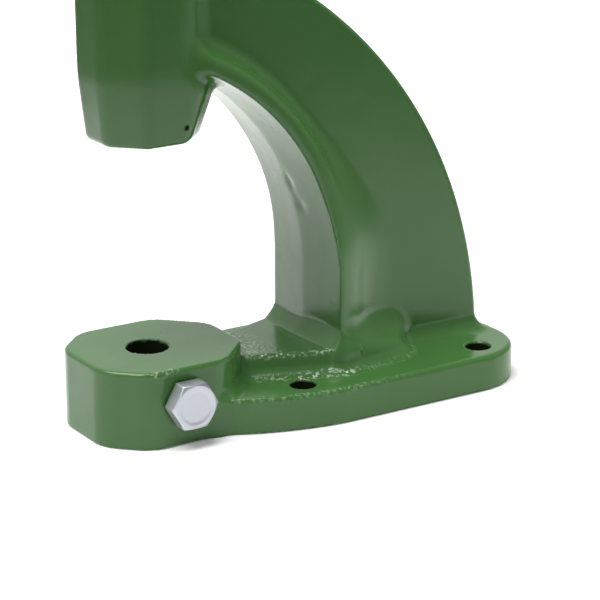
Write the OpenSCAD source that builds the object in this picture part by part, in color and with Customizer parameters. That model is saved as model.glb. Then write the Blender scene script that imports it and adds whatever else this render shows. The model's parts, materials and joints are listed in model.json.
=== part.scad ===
// Small hand fly press: a one-piece cast C-frame with a die boss on its base,
// a multi-start screw in a bronze nut, a keyed ram and a two-ball fly arm.
// Millimetres, +Z up. The origin lies on the die bore axis at the underside of
// the base; +X points to the back of the press, -X to the operator.

/* [Base] */
// Distance from the die axis to the back edge of the base
base_rear = 152; // [145:1:165]
// Width of the base across Y
base_w = 86; // [84:1:96]
// Thickness of the base flange
base_t = 14.4; // [11:0.2:18]
// Corner radius at the back of the base
base_rear_r = 25; // [16:1:28]
// Distance from the die axis to the front corners of the base flange
base_front = 38; // [35:1:42]
// Corner radius at the front of the base flange
base_front_r = 14; // [8:1:18]
// Distance from the die axis to the front pair of bench holes
bench_hole_x = 50; // [47:1:54]
// Spacing of the bench holes along X
bench_pitch_x = 82; // [74:1:84]
// Spacing of the bench holes along Y
bench_pitch_y = 61; // [58:1:64]
// Diameter of the bench holes
bench_hole_d = 10; // [6:0.5:12]

/* [Die boss] */
// Height of the die boss above the bench
boss_h = 30; // [26:0.5:34]
// Width of the die boss across Y
boss_w = 58.6; // [54:0.5:62]
// Front face of the boss, measured forwards from the die axis
boss_front = 28.5; // [26:0.5:31]
// Back point of the boss, measured backwards from the die axis
boss_back = 34.5; // [32:0.5:37]
// Cut of the two front corners of the boss
boss_cut = 14; // [8:0.5:17]
// Cut of its two rear corners
boss_rear_cut = 16.5; // [10:0.5:19]
// Rounding of the upright edges of the boss
boss_corner_r = 4; // [2:0.5:7]
// Diameter of the die bore
die_bore_d = 16; // [12:0.5:20]
// Diameter of the die clamp bolt
clamp_bolt_d = 10; // [6:1:12]
// Width across flats of the clamp bolt head
clamp_bolt_af = 17; // [15:1:19]
// Height of the clamp bolt axis above the bench
clamp_bolt_z = 17; // [15:0.5:18]

/* [C-frame] */
// Distance from the die axis to the throat face of the column
throat_x = 70; // [66:0.5:76]
// Radius of the throat arc
throat_r = 95; // [88:0.5:101]
// Height of the throat arc centre
throat_z = 49.5; // [43:0.5:55]
// Thickness of the wide inner rim of the C
rim_t = 9; // [7:0.5:12]
// How far each half of the throat face falls away from its middle ridge
face_draft = 1.2; // [0:0.2:2]
// Width of the inner rim across Y, along the arc
rim_w = 45; // [42:0.5:48]
// Width of the inner rim across Y, at the foot of its straight leg
leg_w = 50.4; // [48:0.2:54]
// Thickness of the web behind the rim
web_t = 25; // [20:1:30]
// Radius of the outer arc of the web
spine_r = 181; // [178:1:184]
// Height of the outer arc centre
spine_z = 9; // [6:0.5:12]
// Furthest reach of the outer arc behind the die axis
spine_reach = 145; // [142:0.5:148]
// Rounding of the web's outer edges
web_edge_r = 5; // [2:0.5:7]
// Height of the rib between the boss and the column
rib_h = 23; // [19:0.5:25]
// Width of that rib where it leaves the boss
rib_w = 23; // [19:1:30]
// Radius of the coves between the rim and the web
cove_r = 7; // [4:0.5:9]

/* [Head] */
// Height of the underside of the head
head_bottom = 111; // [106:0.5:116]
// Height of the machined top of the head
head_top = 205; // [202:1:212]
// Width across flats of the octagonal head
head_af = 44; // [42:0.5:48]
// Width across flats at the tapered underside
head_foot_af = 39; // [37:0.5:42]
// Height of the tapered lower end of the head
head_taper_h = 26; // [18:1:30]

/* [Screw and ram] */
// Outside diameter of the screw thread
screw_d = 22; // [20:0.5:24]
// Depth of the screw thread
thread_depth = 2.4; // [1.5:0.1:3]
// Number of thread starts
starts = 4; // [2:1:6]
// Advance of the screw in one turn
lead = 40; // [24:1:60]
// Working stroke of the ram
stroke = 30; // [20:1:32]
// Diameter of the ram
ram_d = 26; // [24:0.5:28]
// Diameter of the tool socket in the ram
socket_d = 12; // [8:0.5:13]
// Depth of the tool socket
socket_depth = 26; // [18:1:28]
// Outside diameter of the bronze nut
nut_d = 32; // [30:0.5:34]
// Length of the nut inside the head
nut_len = 34; // [28:1:36]
// Thickness of the nut flange on top of the head
nut_flange_t = 6; // [4:0.5:8]
// Radial running clearance of the ram and of the screw journal
run_gap = 0.05; // [0.02:0.01:0.08]

/* [Fly arm] */
// Distance from the screw axis to the centre of each ball
ball_reach = 150; // [140:1:175]
// Diameter of the ball weights
ball_d = 60; // [50:1:66]
// Diameter of the arm where it enters a ball
arm_tip_d = 16; // [14:0.5:18]
// Diameter of the arm where it leaves the hub
arm_root_d = 21; // [19:0.5:24]
// Diameter of the arm hub
hub_d = 40; // [36:1:46]
// Height of the arm hub
hub_h = 28; // [26:1:34]

/* [Handle] */
// Diameter of the handle stem
stem_d = 10; // [8:0.5:12]
// Length of the turning grip
grip_len = 82; // [70:1:95]
// Largest diameter of the grip
grip_d = 29; // [25:0.5:33]

/* [Hidden] */

green = "#3f6432";
fine = 96;
eps = 0.01;

// Centres of the two arcs that bound the C, on the XZ plane
throat_cx = throat_x - throat_r;
spine_cx = spine_reach - spine_r;
half_rim = rim_w / 2;
half_leg = leg_w / 2;
half_web = web_t / 2;
rim_back = throat_x + rim_t;
taper_top = throat_z + 38;
foot_fillet = 10;
foot_flare = 6.3;
foot_z = 36;
rib_flare = 5;
// How far blended forms tuck inside the faces that they run into
tuck = 0.3;

// Die boss and its clamp bolt
boss_mid = (boss_back - boss_front) / 2;
clamp_head_t = 6.4;
clamp_gap = 1;
clamp_tip_gap = 0.3;
clamp_seat_y = -boss_w / 2 - clamp_gap;
clamp_tip_y = -die_bore_d / 2 - clamp_tip_gap;

// Ram guide, from the head's underside up to the nut
head_r = head_af / 2;
head_foot_r = head_foot_af / 2;
head_corners = [9, 3, 3, 9, 3, 3, 3, 3];
head_cove_r = 10;
nut_bottom = head_top - nut_len;
ram_bottom = head_bottom + 0.5;
ram_top = nut_bottom - 3;
guide_pad_d = 18;
guide_pad_y = head_r + 3;
guide_d = 8;
guide_z = ram_top - stroke - 5;
dog_d = 6;
slot_gap = 0.3;
slot_bottom = guide_z - dog_d / 2 - 3;
slot_floor = ram_d / 2 - 4;
guide_nut_t = 5;
guide_nut_af = 13;
tool_screw_d = 6;
tool_screw_z = ram_bottom + 9;

// Joint between the screw and the ram
neck_d = 14;
neck_len = 18;
neck_bottom = ram_top - neck_len;
groove_d = 9;
groove_h = 5.4;
groove_z = ram_top - 10;
pin_d = 4.8;
pin_x = neck_d / 2;
disc_t = 3;
disc_bottom = neck_bottom - disc_t - run_gap;
shoulder_z = ram_top + 0.5;

// Lock screw of the bronze nut
lock_screw_d = 6;
lock_screw_z = head_top - 14;

// Levels above the head
flange_top = head_top + nut_flange_t;
nut_flange_d = head_af - 3;
collar_h = 12;
collar_d = 40;
collar_slit = 2;
collar_bolt_d = 5;
collar_bolt_head_d = 8.5;
collar_bolt_x = collar_d / 2 - 4.6;
collar_bottom = flange_top + stroke + 0.4;
thread_top = collar_bottom - 0.2;
shank_d = screw_d + 1;
hub_bottom = collar_bottom + collar_h + 2.5;
hub_top = hub_bottom + hub_h;
arm_z = hub_bottom + hub_h / 2;
journal_d = 18;
washer_t = 2.5;
washer_d = 32;
hub_nut_t = 13;
hub_nut_af = 24;
stud_d = 16;
screw_top = hub_top + washer_t + hub_nut_t + 3;
key_w = 6;
nut_clearance = 0.3;

// Handle levels
ball_r = ball_d / 2;
set_screw_d = 8;
stem_in_ball = ball_r - arm_tip_d / 2 - 1;
stem_flange_t = 4;
stem_flange_d = stem_d + 8;
stem_flange_top = arm_z - ball_r + 1.2;
grip_gap = 0.3;
grip_top = stem_flange_top - stem_flange_t - grip_gap;
grip_bottom = grip_top - grip_len;
grip_washer_t = 2;
grip_washer_d = 17;
cap_stud_d = 8;
cap_nut_af = 13;
cap_nut_t = 6.5;
cap_seat = grip_bottom - grip_gap - grip_washer_t;
stem_end = cap_seat - cap_nut_t + 0.5;

// Points of a convex outline with every corner rounded to its own radius
function unit(v) = v / norm(v);
function corner(a, b, c, r, n = 8) =
    let(u = unit(a - b), w = unit(c - b),
        half = acos(min(1, max(-1, u * w))) / 2,
        mid = b + unit(u + w) * r / sin(half),
        s = b + u * r / tan(half), e = b + w * r / tan(half),
        a0 = atan2(s[1] - mid[1], s[0] - mid[0]),
        a1 = atan2(e[1] - mid[1], e[0] - mid[0]),
        d = a1 - a0 > 180 ? a1 - a0 - 360 : a1 - a0 < -180 ? a1 - a0 + 360 : a1 - a0)
    [for (i = [0:n]) mid + r * [cos(a0 + d * i / n), sin(a0 + d * i / n)]];
function rounded(p, r, n = 8) =
    let(m = len(p))
    [for (i = [0:m - 1], q = corner(p[(i + m - 1) % m], p[i], p[(i + 1) % m], r[i], n)) q];

// Octagon with flats across X and Y
function octagon(r) =
    let(s = r * tan(22.5))
    [[s, -r], [r, -s], [r, s], [s, r], [-s, r], [-r, s], [-r, -s], [-s, -r]];

// Extrude an XZ outline symmetrically about Y = 0
module across(w) {
    translate([0, w / 2, 0])
        rotate([90, 0, 0])
            linear_extrude(w)
                children();
}

// Revolve a profile drawn as (radius, Y) about an axis along Y
module ring_y(cx, cz) {
    translate([cx, 0, cz])
        rotate([90, 0, 0])
            rotate_extrude($fn = 180)
                children();
}

// Cylinder along X or along Y, starting at the given place
module rod_x(d, x0, x1, z, y = 0) {
    translate([x0, y, z])
        rotate([0, 90, 0])
            cylinder(d = d, h = x1 - x0, $fn = fine);
}
module rod_y(d, y0, y1, z, x = 0) {
    translate([x, y0, z])
        rotate([-90, 0, 0])
            cylinder(d = d, h = y1 - y0, $fn = fine);
}
module rod_z(d, z0, z1, x = 0, y = 0) {
    translate([x, y, z0])
        cylinder(d = d, h = z1 - z0, $fn = fine);
}

// Hexagon prism with chamfered corners on its outer face
module hex_z(af, h) {
    intersection() {
        cylinder(d = af / cos(30), h = h, $fn = 6);
        union() {
            cylinder(d = af * 1.3, h = h - af * 0.09, $fn = fine);
            translate([0, 0, h - af * 0.09])
                cylinder(d1 = af * 1.3, d2 = af * 0.96, h = af * 0.09, $fn = fine);
        }
    }
}

// Hexagon key socket half as wide and deep as its screw, sunk along +Z from
// an end face on Z = 0
module hex_socket(d) {
    translate([0, 0, -1])
        cylinder(d = d / 2 / cos(30), h = d / 2 + 1, $fn = 6);
}

// ---------------------------------------------------------------- frame

// Flat base flange with large back corners, narrowing forwards into the boss
module base_flange() {
    w = base_w / 2;
    nose = [boss_mid + 7, boss_w / 2 - 4];
    linear_extrude(base_t)
        polygon(rounded([[nose[0], -nose[1]], [base_front, -w], [base_rear, -w],
                         [base_rear, w], [base_front, w], nose],
                        [1, base_front_r, base_rear_r, base_rear_r, base_front_r, 1], 12));
}

// Octagonal die boss with rounded corners
module die_boss() {
    w = boss_w / 2;
    c = boss_cut;
    d = boss_rear_cut;
    linear_extrude(boss_h)
        polygon(rounded([[boss_back - d, -w], [boss_back, d - w], [boss_back, w - d],
                         [boss_back - d, w], [c - boss_front, w], [-boss_front, w - c],
                         [-boss_front, c - w], [c - boss_front, -w]],
                        [for (i = [0:7]) boss_corner_r], 6));
}

// Outline of the rib at one level, flaring from the boss to the column
module rib_outline(out) {
    a = rib_w / 2 + out;
    b = half_leg - tuck + out;
    polygon([[boss_back - 4, -a], [throat_x, -b], [rim_back, -b],
             [rim_back, b], [throat_x, b], [boss_back - 4, a]]);
}

// Wedge-shaped rib that ties the boss to the foot of the column
module base_rib() {
    hull() {
        translate([0, 0, rib_h - 1])
            linear_extrude(1)
                rib_outline(0);
        translate([0, 0, base_t - 1])
            linear_extrude(1)
                rib_outline(rib_flare);
    }
    // Rounded run-up from the rib into the throat face
    intersection() {
        difference() {
            across(leg_w + 2)
                polygon([[throat_x - foot_fillet, rib_h - 1], [throat_x + 2, rib_h - 1],
                         [throat_x + 2, rib_h + foot_fillet], [throat_x, rib_h + foot_fillet],
                         [throat_x - foot_fillet, rib_h]]);
            rod_y(2 * foot_fillet, -leg_w, leg_w, rib_h + foot_fillet, throat_x - foot_fillet);
        }
        linear_extrude(rib_h + foot_fillet + 1)
            rib_outline(0);
    }
}

// Spreading foot of the column on the base flange
module column_foot() {
    foot_w = half_leg + foot_flare;
    hull() {
        translate([throat_x + face_draft + tuck, tuck - half_leg, foot_z])
            cube([rim_t + 1, leg_w - 2 * tuck, 1]);
        translate([0, 0, base_t - 1])
            linear_extrude(1.5)
                polygon(rounded([[throat_x - 12, -foot_w], [throat_x + 24, -foot_w],
                                 [throat_x + 40, -half_web], [throat_x + 40, half_web],
                                 [throat_x + 24, foot_w], [throat_x - 12, foot_w]],
                                [8, 9, 3, 3, 9, 8], 5));
    }
}

// Section of the inner rim from its front face back to r2: a face ridged along
// its middle, sharp front edges and rounded back ones
module rim_section(r1, r2) {
    w = half_leg;
    polygon(rounded([[r1, 0], [r1 + face_draft, -w], [r2, -w], [r2, w], [r1 + face_draft, w]],
                    [6, 1, 4, 4, 1], 4));
}

// Wide inner rim: an arc over the throat and a straight leg down to the base.
// Its sides draw in from the leg's width to the arc's.
module inner_rim() {
    intersection() {
        ring_y(throat_cx, throat_z)
            rim_section(throat_r, throat_r + rim_t);
        translate([head_r - 9, 0, 0])
            rotate([90, 0, 90])
                linear_extrude(rim_back - head_r + 10)
                    polygon([[-half_leg - tuck, throat_z], [half_leg + tuck, throat_z],
                             [half_rim, taper_top], [half_rim, head_top - 20],
                             [-half_rim, head_top - 20], [-half_rim, taper_top]]);
    }
    translate([0, 0, base_t / 2])
        linear_extrude(throat_z - base_t / 2)
            rim_section(throat_x, rim_back);
}

// Cove between the rim and the web, on both sides
module rim_cove() {
    r2 = throat_r + rim_t;
    for (s = [-1, 1]) {
        intersection() {
            ring_y(throat_cx, throat_z)
                difference() {
                    translate([r2 - 1, s > 0 ? half_web - 1 : -half_web - cove_r])
                        square([cove_r + 1, cove_r + 1]);
                    translate([r2 + cove_r, s * (half_web + cove_r)])
                        circle(r = cove_r, $fn = 32);
                }
            translate([head_r / 2, -rim_w, throat_z])
                cube([rim_back + cove_r, rim_w * 2, head_bottom]);
        }
        translate([0, 0, base_t / 2])
            linear_extrude(throat_z - base_t / 2)
                difference() {
                    translate([rim_back - 1, s > 0 ? half_web - 1 : -half_web - cove_r])
                        square([cove_r + 1, cove_r + 1]);
                    translate([rim_back + cove_r, s * (half_web + cove_r)])
                        circle(r = cove_r, $fn = 32);
                }
    }
}

// Outline of the web on the XZ plane, inset from the outer arc
module web_outline(inset) {
    difference() {
        intersection() {
            translate([spine_cx, spine_z])
                circle(r = spine_r - inset, $fn = 180);
            translate([0, base_t / 2])
                square([spine_reach + 1, head_top - base_t / 2 - 6]);
        }
        translate([throat_cx, throat_z])
            circle(r = throat_r + rim_t / 2, $fn = 180);
        translate([-1, -1])
            square([throat_x + rim_t / 2 + 1, throat_z + 1]);
    }
}

// Web of the C: full thickness inside, rounded along the outer arc
module web() {
    across(web_t)
        web_outline(web_edge_r);
    across(web_t - 2 * web_edge_r)
        web_outline(0);
    intersection() {
        ring_y(spine_cx, spine_z)
            for (s = [-1, 1])
                translate([spine_r - web_edge_r, s * (half_web - web_edge_r)])
                    circle(r = web_edge_r, $fn = 48);
        translate([0, -web_t, spine_z])
            cube([spine_reach + 1, web_t * 2, head_top - spine_z - 6]);
    }
    // Fillet at the heel, from the back of the web to the base
    heel = base_rear - spine_reach - 1;
    translate([spine_reach - 1, 0, base_t])
        difference() {
            across(web_t)
                polygon([[-2, -1], [heel + 1, -1], [heel + 1, 0], [0, heel + 3], [-2, heel + 3]]);
            rod_y(2 * heel, -web_t, web_t, heel, heel + 1);
        }
}

// Octagonal head with a tapered lower end
module head() {
    z1 = head_bottom + head_taper_h;
    translate([0, 0, z1 - eps])
        linear_extrude(head_top - z1 + eps)
            polygon(rounded(octagon(head_r), head_corners, 4));
    hull() {
        translate([0, 0, z1 - 1])
            linear_extrude(1)
                polygon(rounded(octagon(head_r), head_corners, 4));
        translate([0, 0, head_bottom + 2])
            linear_extrude(1)
                polygon(rounded(octagon(head_foot_r + 0.3), [for (i = [0:7]) 3], 3));
        translate([0, 0, head_bottom])
            linear_extrude(1)
                polygon(rounded(octagon(head_foot_r - 1.2), [for (i = [0:7]) 3], 3));
    }
    // Round pad for the ram guide screw, on the far side of the head
    rod_y(guide_pad_d, head_foot_r - 3, guide_pad_y, guide_z);
}

// Vertical coves that blend the head's rear faces into the web
module head_cove() {
    r = head_cove_r;
    t = r * tan(22.5);
    x = head_r * tan(22.5) + head_r - half_web;
    z0 = head_bottom + head_taper_h;
    for (s = [-1, 1])
        translate([0, 0, z0])
            linear_extrude(head_top - z0 - 26)
                difference() {
                    polygon([[x - 6, s * (half_web - 1)], [x + t, s * (half_web - 1)],
                             [x + t, s * half_web], [x, s * (half_web + 3)],
                             [x - 6, s * (half_web + 3)]]);
                    translate([x + t - tuck, s * (half_web + r)])
                        circle(r = r, $fn = 64);
                }
}

module frame() {
    color(green)
        difference() {
            union() {
                base_flange();
                die_boss();
                base_rib();
                column_foot();
                inner_rim();
                rim_cove();
                web();
                head();
                head_cove();
            }
            // Die bore and its clamp bolt hole
            rod_z(die_bore_d, -1, boss_h + 1);
            rod_y(clamp_bolt_d + 2 * run_gap, -boss_w, 0, clamp_bolt_z);
            // Bench holes
            for (x = [bench_hole_x, bench_hole_x + bench_pitch_x], s = [-1, 1])
                rod_z(bench_hole_d, -1, base_t + 20, x, s * bench_pitch_y / 2);
            // Ram bore, nut seat and the screw passage between them
            rod_z(ram_d + 2 * run_gap, head_bottom - 1, nut_bottom);
            rod_z(nut_d, nut_bottom - eps, head_top + 1);
            // Guide screw and nut lock screw holes
            rod_y(guide_d, 0, guide_pad_y + 1, guide_z);
            rod_x(lock_screw_d, -head_r - 1, 0, lock_screw_z);
        }
}

// ---------------------------------------------------------------- fasteners

module die_clamp_bolt() {
    color("#b9bcc0") {
        translate([0, clamp_seat_y, clamp_bolt_z])
            rotate([90, 0, 0])
                hex_z(clamp_bolt_af, clamp_head_t);
        rod_y(clamp_bolt_d, clamp_seat_y - 1, clamp_tip_y - 1, clamp_bolt_z);
        rod_y(clamp_bolt_d - 2, clamp_tip_y - 1 - eps, clamp_tip_y, clamp_bolt_z);
    }
}

module nut_lock_screw() {
    color("#3a3a3c")
        difference() {
            rod_x(lock_screw_d, -head_r + 0.6, -nut_d / 2 + 1.8, lock_screw_z);
            translate([-head_r + 0.6, 0, lock_screw_z])
                rotate([0, 90, 0])
                    hex_socket(lock_screw_d);
        }
}

module ram_guide_screw() {
    color("#8d9094")
        difference() {
            union() {
                rod_y(guide_d, ram_d / 2 + 0.6, guide_pad_y + guide_nut_t + 5, guide_z);
                rod_y(dog_d, slot_floor + 0.5, ram_d / 2 + 1, guide_z);
            }
            translate([-0.6, guide_pad_y + guide_nut_t + 3, guide_z - guide_d])
                cube([1.2, 3, guide_d * 2]);
        }
}

module guide_lock_nut() {
    color("#8d9094")
        difference() {
            translate([0, guide_pad_y, guide_z])
                rotate([-90, 0, 0])
                    hex_z(guide_nut_af, guide_nut_t);
            rod_y(guide_d, guide_pad_y - 1, guide_pad_y + guide_nut_t + 1, guide_z);
        }
}

// ---------------------------------------------------------------- nut and ram

module screw_nut() {
    color("#b08d4c")
        difference() {
            union() {
                rod_z(nut_d, nut_bottom, head_top + 1);
                rod_z(nut_flange_d, head_top, flange_top - 1);
                translate([0, 0, flange_top - 1 - eps])
                    cylinder(d1 = nut_flange_d, d2 = nut_flange_d - 2, h = 1, $fn = fine);
            }
            rod_z(screw_d + 2 * nut_clearance, nut_bottom - 1, flange_top + 1);
            rod_x(lock_screw_d, -nut_d / 2 - 2, -nut_d / 2 + 2, lock_screw_z);
        }
}

module ram() {
    color("#9a9da1")
        difference() {
            union() {
                translate([0, 0, ram_bottom])
                    cylinder(d1 = ram_d - 2, d2 = ram_d, h = 1, $fn = fine);
                rod_z(ram_d, ram_bottom + 1 - eps, ram_top);
            }
            rod_z(socket_d, ram_bottom - 1, ram_bottom + socket_depth);
            rod_z(neck_d + 2 * run_gap, disc_bottom, ram_top + 1);
            // Keyway for the guide screw, open at the top
            translate([-dog_d / 2 - slot_gap, slot_floor, slot_bottom])
                cube([dog_d + 2 * slot_gap, ram_d, ram_top]);
            // Cross holes for the two retaining pins
            for (s = [-1, 1])
                rod_y(pin_d, -ram_d, ram_d, groove_z, s * pin_x);
            // Tool clamp screw hole
            rod_y(tool_screw_d + 2 * run_gap, -ram_d, 0, tool_screw_z);
        }
}

module ram_thrust_disc() {
    color("#6f7276")
        rod_z(neck_d - 0.2, disc_bottom, disc_bottom + disc_t);
}

module ram_retaining_pins() {
    len = sqrt(ram_d * ram_d / 4 - (pin_x + pin_d / 2) * (pin_x + pin_d / 2)) - 0.3;
    color("#7b7e82")
        for (s = [-1, 1])
            rod_y(pin_d, -len, len, groove_z, s * pin_x);
}

module tool_clamp_screw() {
    color("#3a3a3c")
        difference() {
            rod_y(tool_screw_d, -ram_d / 2 + 0.5, -socket_d / 2 - 0.3, tool_screw_z);
            translate([0, -ram_d / 2 + 0.5, tool_screw_z])
                rotate([-90, 0, 0])
                    hex_socket(tool_screw_d);
        }
}

// ---------------------------------------------------------------- screw

// Cross-section of the multi-start thread: one crest and one root per start
function thread_section(r, depth) =
    let(step = 360 / starts)
    [for (i = [0:starts - 1], q = [[0.00, 0], [0.20, 0], [0.40, 0],
                                   [0.52, 1], [0.70, 1], [0.88, 1]])
        (r - depth * q[1]) * [cos(step * (i + q[0])), sin(step * (i + q[0]))]];

module press_screw() {
    thread_len = thread_top - shoulder_z + 0.5;
    color("#a3a6aa")
        difference() {
            union() {
                // Neck in the ram, with the groove for the retaining pins
                rod_z(neck_d, neck_bottom, groove_z - groove_h / 2);
                rod_z(groove_d, neck_bottom, shoulder_z + 1);
                rod_z(neck_d, groove_z + groove_h / 2, shoulder_z + 1);
                // Multi-start thread
                translate([0, 0, shoulder_z])
                    linear_extrude(thread_len, twist = -360 * thread_len / lead,
                                   slices = ceil(30 * thread_len / lead))
                        polygon(thread_section(screw_d / 2, thread_depth));
                // Plain shank for the stop collar, journal and stud
                rod_z(shank_d, thread_top, hub_bottom);
                rod_z(journal_d, hub_bottom - 1, hub_top - 0.5);
                rod_z(stud_d, hub_top - 1, screw_top - 1);
                translate([0, 0, screw_top - 1 - eps])
                    cylinder(d1 = stud_d, d2 = stud_d - 2, h = 1, $fn = fine);
            }
            // Keyway for the arm key
            translate([journal_d / 2 - key_w / 2, -key_w / 2, hub_bottom + 3])
                cube([key_w, key_w, hub_h]);
        }
}

module stop_collar() {
    color("#5c5f63")
        difference() {
            union() {
                rod_z(collar_d, collar_bottom, collar_bottom + collar_h - 1);
                translate([0, 0, collar_bottom + collar_h - 1 - eps])
                    cylinder(d1 = collar_d, d2 = collar_d - 2, h = 1, $fn = fine);
            }
            rod_z(shank_d, collar_bottom - 1, collar_bottom + collar_h + 1);
            // Slit and clamp bolt hole
            translate([0, -collar_slit / 2, collar_bottom - 1])
                cube([collar_d, collar_slit, collar_h + 2]);
            rod_y(collar_bolt_d, -collar_d, collar_d, collar_bottom + collar_h / 2, collar_bolt_x);
            // Spot face for the bolt head
            rod_y(collar_bolt_head_d + 0.9, -collar_d, -6.5, collar_bottom + collar_h / 2,
                  collar_bolt_x);
        }
}

module stop_collar_bolt() {
    z = collar_bottom + collar_h / 2;
    x = collar_bolt_x;
    color("#3a3a3c")
        difference() {
            union() {
                rod_y(collar_bolt_d, -7, 9, z, x);
                rod_y(collar_bolt_head_d, -6.5 - collar_bolt_d, -6.5, z, x);
            }
            translate([x, -6.5 - collar_bolt_d, z])
                rotate([-90, 0, 0])
                    hex_socket(collar_bolt_head_d);
        }
}

// ---------------------------------------------------------------- fly arm

module fly_arm() {
    tip = ball_reach - ball_r + 2;
    color(green)
        difference() {
            union() {
                // Hub with rounded rims
                translate([0, 0, hub_bottom])
                    rotate_extrude($fn = fine)
                        difference() {
                            square([hub_d / 2, hub_h]);
                            for (z = [0, hub_h])
                                translate([hub_d / 2 - 3, z == 0 ? 3 : hub_h - 3])
                                    difference() {
                                        translate([0, z == 0 ? -4 : 0])
                                            square([4, 4]);
                                        circle(r = 3, $fn = 32);
                                    }
                        }
                // Two tapered arms and their spigots
                for (s = [0, 180])
                    rotate([0, 0, s])
                        translate([0, 0, arm_z])
                            rotate([0, 90, 0]) {
                                cylinder(d1 = arm_root_d + 2, d2 = arm_tip_d + 2, h = tip,
                                         $fn = fine);
                                cylinder(d = arm_tip_d, h = ball_reach + ball_r - 3,
                                         $fn = fine);
                            }
            }
            rod_z(journal_d, hub_bottom - 1, hub_top + 1);
            translate([0, -key_w / 2, hub_bottom - 1])
                cube([journal_d / 2 + key_w / 2, key_w, hub_h + 2]);
        }
}

module arm_key() {
    color("#7b7e82")
        translate([journal_d / 2 - key_w / 2, -key_w / 2, hub_bottom + 3])
            cube([key_w, key_w, hub_h - 4]);
}

module hub_washer() {
    color("#b9bcc0")
        difference() {
            rod_z(washer_d, hub_top, hub_top + washer_t);
            rod_z(stud_d, hub_top - 1, hub_top + washer_t + 1);
        }
}

module hub_nut() {
    color("#b9bcc0")
        difference() {
            translate([0, 0, hub_top + washer_t])
                hex_z(hub_nut_af, hub_nut_t);
            rod_z(stud_d, hub_top, screw_top + 1);
        }
}

// Ball weight with a bore for the arm and a set screw hole on top
module ball(side) {
    x = side * ball_reach;
    difference() {
        translate([x, 0, arm_z])
            sphere(d = ball_d, $fn = fine);
        rod_x(arm_tip_d, x - ball_r - 1, x + ball_r + 1, arm_z);
        // Faced ends where the arm enters and leaves
        for (s = [-1, 1])
            translate([x + s * (ball_r + 8), 0, arm_z])
                cube([20, ball_d, ball_d], center = true);
        rod_z(set_screw_d, arm_z, arm_z + ball_r + 1, x);
    }
}

module front_ball() {
    color(green)
        difference() {
            ball(-1);
            rod_z(stem_d, arm_z - ball_r - 1, arm_z - arm_tip_d / 2 - 1 + eps, -ball_reach);
            rod_z(stem_flange_d + 1, arm_z - ball_r - 1, stem_flange_top, -ball_reach);
        }
}

module rear_ball() {
    color(green)
        ball(1);
}

module ball_set_screws() {
    color("#3a3a3c")
        for (s = [-1, 1])
            difference() {
                rod_z(set_screw_d, arm_z + arm_tip_d / 2, arm_z + ball_r - 2, s * ball_reach);
                translate([s * ball_reach, 0, arm_z + ball_r - 2])
                    mirror([0, 0, 1])
                        hex_socket(set_screw_d);
            }
}

// ---------------------------------------------------------------- handle

module handle_stem() {
    color("#8d9094") {
        rod_z(stem_d, grip_bottom + 1, stem_flange_top + stem_in_ball - 2, -ball_reach);
        rod_z(stem_flange_d, stem_flange_top - stem_flange_t, stem_flange_top, -ball_reach);
        rod_z(cap_stud_d, stem_end, grip_bottom + 2, -ball_reach);
    }
}

// Turned grip, fullest below its middle
module handle_grip() {
    r = grip_d / 2;
    h = grip_len;
    n = 24;
    body = [for (i = [0:n])
        let(t = i / n)
        [r * (0.66 + 0.34 * sin(180 * pow(1 - t, 1.25)) + 0.02 * t), h * t]];
    color("#1f1f21")
        translate([-ball_reach, 0, grip_bottom])
            difference() {
                rotate_extrude($fn = 64)
                    polygon(concat([[0, 0]], body, [[0, h]]));
                translate([0, 0, -1])
                    cylinder(d = stem_d + 0.2, h = h + 2, $fn = fine);
            }
}

module grip_washer() {
    color("#b9bcc0")
        difference() {
            rod_z(grip_washer_d, cap_seat, grip_bottom - grip_gap, -ball_reach);
            rod_z(cap_stud_d, grip_bottom - 5, grip_bottom + 1, -ball_reach);
        }
}

module grip_cap_nut() {
    color("#b9bcc0")
        difference() {
            union() {
                translate([-ball_reach, 0, cap_seat])
                    mirror([0, 0, 1])
                        cylinder(d = cap_nut_af / cos(30), h = cap_nut_t, $fn = 6);
                translate([-ball_reach, 0, cap_seat - cap_nut_t])
                    sphere(d = cap_nut_af - 1, $fn = 64);
            }
            rod_z(cap_stud_d, stem_end, cap_seat + 1, -ball_reach);
        }
}

// ---------------------------------------------------------------- output

frame();
die_clamp_bolt();
screw_nut();
nut_lock_screw();
ram();
ram_thrust_disc();
ram_retaining_pins();
tool_clamp_screw();
ram_guide_screw();
guide_lock_nut();
press_screw();
stop_collar();
stop_collar_bolt();
fly_arm();
arm_key();
hub_washer();
hub_nut();
front_ball();
rear_ball();
ball_set_screws();
handle_stem();
handle_grip();
grip_washer();
grip_cap_nut();
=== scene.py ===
import json
import bmesh
import bpy
import numpy as np
from mathutils import Matrix, Vector


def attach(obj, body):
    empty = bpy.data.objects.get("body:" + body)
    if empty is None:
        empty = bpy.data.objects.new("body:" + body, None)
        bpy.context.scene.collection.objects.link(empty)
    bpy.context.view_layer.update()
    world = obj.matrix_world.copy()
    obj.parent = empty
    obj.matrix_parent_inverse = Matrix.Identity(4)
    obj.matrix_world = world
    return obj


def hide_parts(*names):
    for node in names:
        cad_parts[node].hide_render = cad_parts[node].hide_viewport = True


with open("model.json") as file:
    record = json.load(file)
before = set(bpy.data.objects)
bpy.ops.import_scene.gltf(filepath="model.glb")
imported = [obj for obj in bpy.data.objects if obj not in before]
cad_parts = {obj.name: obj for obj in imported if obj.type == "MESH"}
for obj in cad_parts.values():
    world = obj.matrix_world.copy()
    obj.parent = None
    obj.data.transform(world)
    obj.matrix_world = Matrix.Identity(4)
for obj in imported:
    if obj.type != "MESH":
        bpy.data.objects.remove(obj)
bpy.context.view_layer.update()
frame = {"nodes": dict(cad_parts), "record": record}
scene = bpy.context.scene
MM = 0.001


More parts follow.
